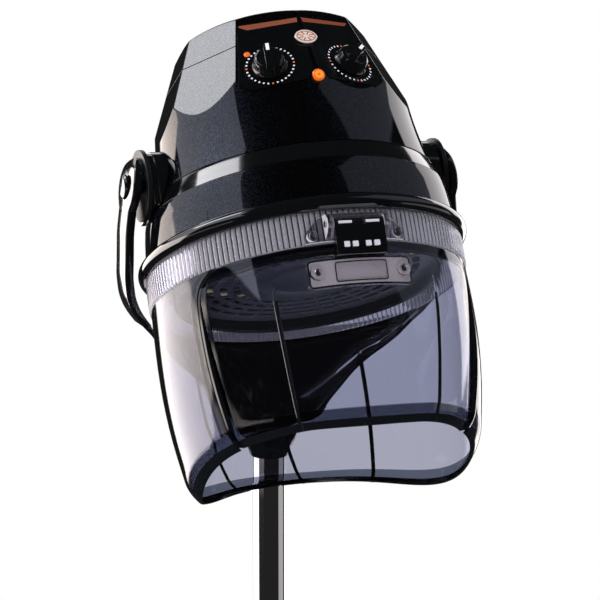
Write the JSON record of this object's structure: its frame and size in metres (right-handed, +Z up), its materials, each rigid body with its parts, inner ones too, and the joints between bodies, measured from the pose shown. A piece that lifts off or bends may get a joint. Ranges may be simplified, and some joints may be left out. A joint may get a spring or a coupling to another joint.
{
  "type": "hood hair dryer",
  "caption": "Hooded salon hair dryer: faceted black hood with smoked clear bonnet and flip-up visor, in a tilting yoke on a wheeled telescopic stand.",
  "frame": {"origin": "on the floor, on the axis of the column", "axes": "+Z up the column, -Y to the front where the visor is, +X to the right seen from the front"},
  "size_m": [0.6006, 0.6748, 1.5317],
  "materials": {
    "gloss_black": "high-gloss moulded plastic with fine metallic flake",
    "satin_black": "satin moulded plastic",
    "smoke_clear": "smoked clear moulded plastic",
    "white_grille": "white moulded plastic",
    "cream_plastic": "moulded plastic",
    "silver": "brushed",
    "lamp_orange": "clear orange lens",
    "zinc_steel": "zinc-plated sheet steel",
    "mica": "laminated mica board",
    "heater_wire": "oxidised resistance wire",
    "chrome": "chrome-plated",
    "wheel_rubber": "moulded"
  },
  "bodies": {
    "base": {"column_tube": "chrome", "column_bush": "satin_black", "clamp_collar": "satin_black", "base_hub": "satin_black", "base_legs": "satin_black"},
    "mast": {"inner_pole": "chrome"},
    "yoke": {"yoke_arm_left": "gloss_black", "yoke_arm_right": "gloss_black", "yoke_shield": "gloss_black", "pole_socket": "gloss_black", "friction_discs": "satin_black", "pivot_bolts": "satin_black"},
    "hood": {"upper_shell": "gloss_black", "top_cover": "gloss_black", "trim_band": "satin_black", "mid_ring": "gloss_black", "lip_ring": "gloss_black", "control_plate": "satin_black", "badge_plate": "silver", "neon_lamp": "lamp_orange", "pilot_lamp": "lamp_orange", "timer_body": "cream_plastic", "thermostat_body": "cream_plastic", "motor": "zinc_steel", "motor_bracket": "zinc_steel", "heater_frame": "mica", "heater_coil": "heater_wire", "air_guide": "zinc_steel", "inner_pan": "zinc_steel", "diffuser_collar": "satin_black", "diffuser_grille": "white_grille", "bonnet": "smoke_clear", "hinge_cover": "smoke_clear", "hinge_pin": "chrome", "hinge_screws": "zinc_steel", "cable_gland": "satin_black", "pivot_boss_left": "satin_black", "pivot_boss_right": "satin_black"},
    "visor_flap": {"visor": "smoke_clear", "visor_bracket": "smoke_clear", "visor_hinge_block": "satin_black", "visor_screws": "chrome"},
    "timer_dial": {"timer_knob": "satin_black"},
    "thermostat_dial": {"thermostat_knob": "satin_black"},
    "fan": {"fan_wheel": "cream_plastic"},
    "clamp_handle": {"clamp_knob": "satin_black"},
    "castor_1": {"castor_body_1": "satin_black"},
    "wheels_1": {"castor_wheels_1": "wheel_rubber"},
    "castor_2": {"castor_body_2": "satin_black"},
    "wheels_2": {"castor_wheels_2": "wheel_rubber"},
    "castor_3": {"castor_body_3": "satin_black"},
    "wheels_3": {"castor_wheels_3": "wheel_rubber"},
    "castor_4": {"castor_body_4": "satin_black"},
    "wheels_4": {"castor_wheels_4": "wheel_rubber"},
    "castor_5": {"castor_body_5": "satin_black"},
    "wheels_5": {"castor_wheels_5": "wheel_rubber"}
  },
  "joints": [
    {"name": "pole_slide", "type": "slide", "parent": "base", "child": "mast", "axis": [0, 0, 1], "range_m": [-0.18, 0.12]},
    {"name": "yoke_swivel", "type": "hinge", "parent": "mast", "child": "yoke", "pos_m": [0, 0, 1], "axis": [0, 0, 1], "range_deg": [-170, 170]},
    {"name": "hood_tilt", "type": "hinge", "parent": "yoke", "child": "hood", "pos_m": [0, -0.085, 1.33], "axis": [-1, 0, 0], "range_deg": [-1.5, 35]},
    {"name": "visor_flip", "type": "hinge", "parent": "hood", "child": "visor_flap", "pos_m": [0, -0.3196, 1.31287], "axis": [-1, 0, 0], "range_deg": [0, 95]},
    {"name": "timer_turn", "type": "hinge", "parent": "hood", "child": "timer_dial", "pos_m": [-0.04771, -0.15689, 1.47144], "axis": [-0.2879, -0.6053, 0.7421], "range_deg": [-300, 0]},
    {"name": "thermostat_turn", "type": "hinge", "parent": "hood", "child": "thermostat_dial", "pos_m": [0.04771, -0.15689, 1.47144], "axis": [0.2879, -0.6053, 0.7421], "range_deg": [-90, 180]},
    {"name": "fan_spin", "type": "hinge", "parent": "hood", "child": "fan", "pos_m": [0, -0.08214, 1.33527], "axis": [0, 0.4772, 0.8788], "continuous": true},
    {"name": "clamp_turn", "type": "hinge", "parent": "base", "child": "clamp_handle", "pos_m": [0, 0.05, 0.722], "axis": [0, 1, 0], "range_deg": [0, 270]},
    {"name": "castor_swivel_1", "type": "hinge", "parent": "base", "child": "castor_1", "pos_m": [0, 0.29, 0.05], "axis": [0, 0, 1], "continuous": true},
    {"name": "wheel_spin_1", "type": "hinge", "parent": "castor_1", "child": "wheels_1", "pos_m": [-0.017, 0.29, 0.025], "axis": [0, 1, 0], "continuous": true},
    {"name": "castor_swivel_2", "type": "hinge", "parent": "base", "child": "castor_2", "pos_m": [-0.27581, 0.08962, 0.05], "axis": [0, 0, 1], "continuous": true},
    {"name": "wheel_spin_2", "type": "hinge", "parent": "castor_2", "child": "wheels_2", "pos_m": [-0.28106, 0.07345, 0.025], "axis": [-0.9511, 0.309, 0], "continuous": true},
    {"name": "castor_swivel_3", "type": "hinge", "parent": "base", "child": "castor_3", "pos_m": [-0.17046, -0.23461, 0.05], "axis": [0, 0, 1], "continuous": true},
    {"name": "wheel_spin_3", "type": "hinge", "parent": "castor_3", "child": "wheels_3", "pos_m": [-0.15671, -0.24461, 0.025], "axis": [-0.5878, -0.809, 0], "continuous": true},
    {"name": "castor_swivel_4", "type": "hinge", "parent": "base", "child": "castor_4", "pos_m": [0.17046, -0.23461, 0.05], "axis": [0, 0, 1], "continuous": true},
    {"name": "wheel_spin_4", "type": "hinge", "parent": "castor_4", "child": "wheels_4", "pos_m": [0.18421, -0.22462, 0.025], "axis": [0.5878, -0.809, 0], "continuous": true},
    {"name": "castor_swivel_5", "type": "hinge", "parent": "base", "child": "castor_5", "pos_m": [0.27581, 0.08962, 0.05], "axis": [0, 0, 1], "continuous": true},
    {"name": "wheel_spin_5", "type": "hinge", "parent": "castor_5", "child": "wheels_5", "pos_m": [0.27055, 0.10578, 0.025], "axis": [0.9511, 0.309, 0], "continuous": true}
  ]
}
